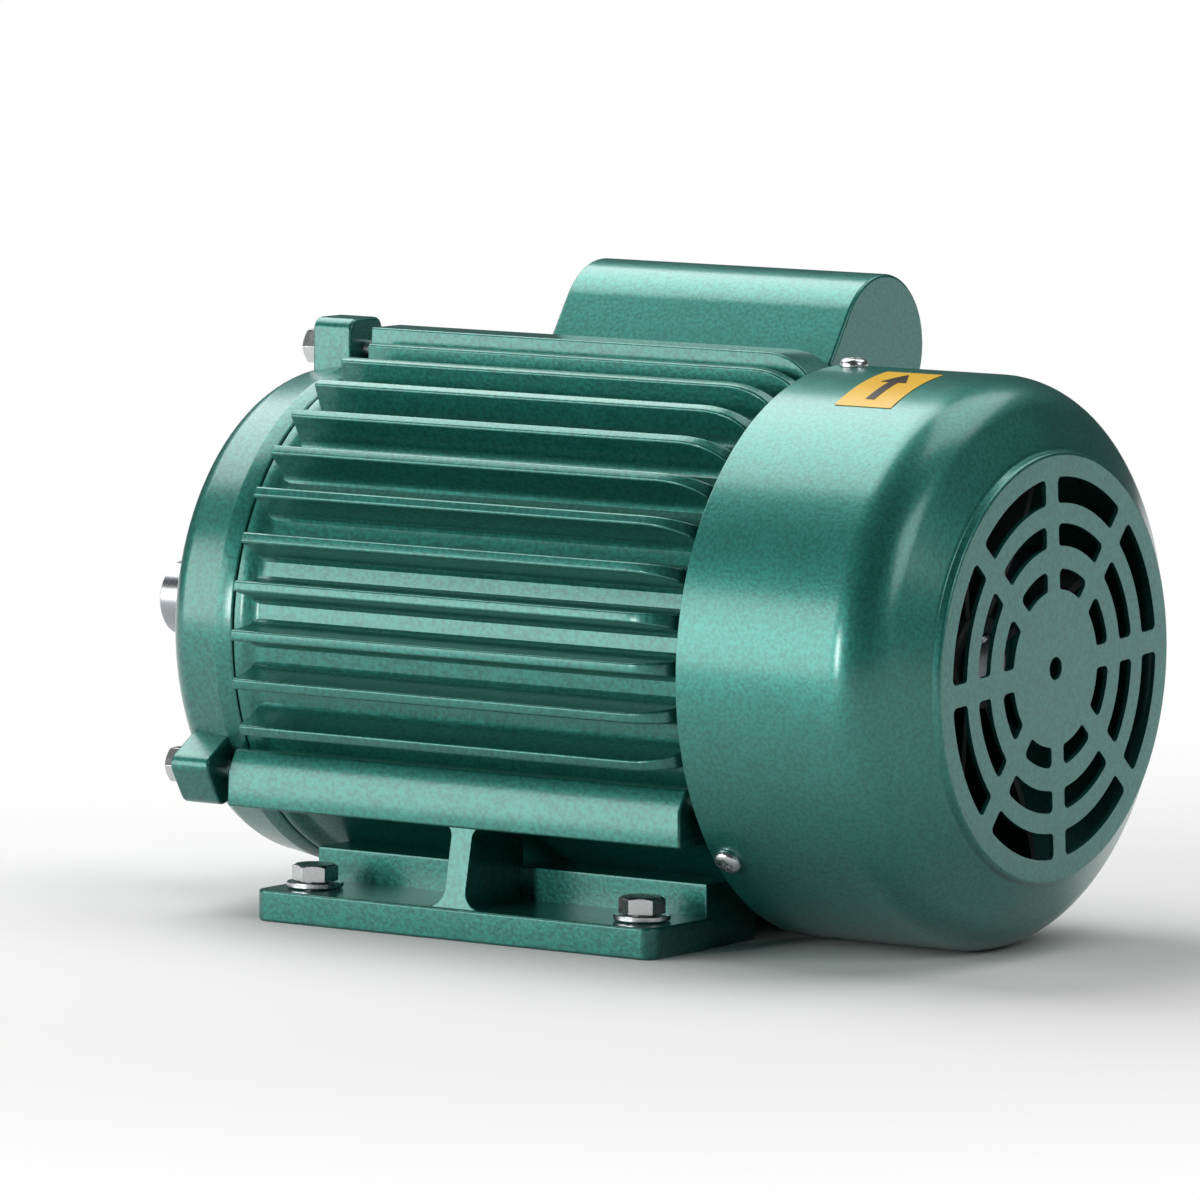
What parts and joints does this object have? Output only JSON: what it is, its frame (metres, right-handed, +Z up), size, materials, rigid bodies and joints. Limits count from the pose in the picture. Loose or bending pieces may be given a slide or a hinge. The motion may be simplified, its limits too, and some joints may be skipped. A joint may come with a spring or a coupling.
{
  "type": "electric motor",
  "caption": "Foot-mounted, fan-cooled single-phase induction motor with a finned cast frame, slotted fan cowl, start capacitor under a round cover, and a keyed shaft.",
  "frame": {"origin": "on the mounting plane under the feet, midway between the foot holes and under the shaft axis", "axes": "+X along the shaft towards the fan end, -Y towards the side seen in the picture, +Z up"},
  "size_m": [0.337, 0.18, 0.2039],
  "materials": {
    "cast_enamel": "teal-green gloss enamel on a casting",
    "sheet_enamel": "teal-green enamel on pressed sheet",
    "zinc": "bright zinc plate",
    "shaft_steel": "turned bare steel",
    "bearing_steel": "ground bearing steel",
    "cage_brass": "pressed brass",
    "spring_steel": "dark spring steel",
    "core_steel": "stacked sheet steel",
    "copper_winding": "varnished copper wire",
    "cage_aluminium": "die-cast aluminium",
    "black_plastic": "black moulded plastic",
    "board": "brown insulating board",
    "rubber": "black rubber"
  },
  "bodies": {
    "housing": {"stator_frame": "cast_enamel", "drive_end_shield": "cast_enamel", "fan_end_shield": "cast_enamel", "fan_cowl": "sheet_enamel", "capacitor_cover": "sheet_enamel", "drive_shield_bolt_1": "zinc", "drive_shield_bolt_2": "zinc", "drive_shield_bolt_3": "zinc", "fan_shield_bolt_1": "zinc", "fan_shield_bolt_2": "zinc", "fan_shield_bolt_3": "zinc", "foot_bolt_1": "zinc", "foot_bolt_2": "zinc", "foot_bolt_3": "zinc", "foot_bolt_4": "zinc", "foot_washer_1": "zinc", "foot_washer_2": "zinc", "foot_washer_3": "zinc", "foot_washer_4": "zinc", "cowl_screw_1": "zinc", "cowl_screw_2": "zinc", "cowl_screw_3": "zinc", "cover_screw_1": "zinc", "cover_screw_2": "zinc", "capacitor_clamp": "zinc", "drive_end_bearing_outer_ring": "bearing_steel", "fan_end_bearing_outer_ring": "bearing_steel", "wave_spring": "spring_steel", "stator_core": "core_steel", "stator_winding": "copper_winding", "capacitor": "black_plastic", "cable_gland": "black_plastic", "gland_nut": "black_plastic", "switch_plate": "board", "terminal_block": "board", "capacitor_gasket": "rubber"},
    "rotor": {"shaft": "shaft_steel", "shaft_key": "shaft_steel", "shaft_seal": "rubber", "rotor_core": "core_steel", "rotor_cage": "cage_aluminium", "drive_end_bearing_inner_ring": "bearing_steel", "fan_end_bearing_inner_ring": "bearing_steel", "cooling_fan": "black_plastic", "fan_clip": "spring_steel", "switch_carrier": "black_plastic", "switch_spring": "spring_steel"},
    "drive_end_cage": {"drive_end_bearing_ball_cage": "cage_brass"},
    "fan_end_cage": {"fan_end_bearing_ball_cage": "cage_brass"},
    "switch_collar": {"switch_collar": "black_plastic"},
    "switch_weight_a": {"switch_weight_a": "zinc"},
    "switch_weight_b": {"switch_weight_b": "zinc"},
    "switch_contact_arm": {"switch_contact_arm": "cage_brass"}
  },
  "joints": [
    {"name": "rotor_spin", "type": "hinge", "parent": "housing", "child": "rotor", "pos_m": [0, 0, 0.09], "axis": [1, 0, 0], "continuous": true},
    {"name": "drive_end_cage_spin", "type": "hinge", "parent": "housing", "child": "drive_end_cage", "pos_m": [0, 0, 0.09], "axis": [1, 0, 0], "continuous": true},
    {"name": "fan_end_cage_spin", "type": "hinge", "parent": "housing", "child": "fan_end_cage", "pos_m": [0, 0, 0.09], "axis": [1, 0, 0], "continuous": true},
    {"name": "switch_collar_slide", "type": "slide", "parent": "rotor", "child": "switch_collar", "axis": [-1, 0, 0], "range_m": [0, 0.004], "stiffness_N_per_m": 1500, "deforming": ["switch_spring"]},
    {"name": "switch_weight_a_swing", "type": "hinge", "parent": "rotor", "child": "switch_weight_a", "pos_m": [0.0618, 0, 0.118], "axis": [0, -1, 0], "range_deg": [0, 20]},
    {"name": "switch_weight_b_swing", "type": "hinge", "parent": "rotor", "child": "switch_weight_b", "pos_m": [0.0618, 0, 0.062], "axis": [0, 1, 0], "range_deg": [0, 20]},
    {"name": "contact_arm_swing", "type": "hinge", "parent": "housing", "child": "switch_contact_arm", "pos_m": [0.08015, 0.04, 0.09], "axis": [0, 0, -1], "range_deg": [0, 8.1]}
  ],
  "couplings": [
    {"joint": "drive_end_cage_spin", "follows": "rotor_spin", "ratio": 0.3987},
    {"joint": "fan_end_cage_spin", "follows": "rotor_spin", "ratio": 0.3836},
    {"joint": "switch_weight_a_swing", "follows": "switch_collar_slide", "rad_per_m": 87.256},
    {"joint": "switch_weight_b_swing", "follows": "switch_collar_slide", "rad_per_m": 87.256},
    {"joint": "contact_arm_swing", "follows": "switch_collar_slide", "rad_per_m": 35}
  ]
}
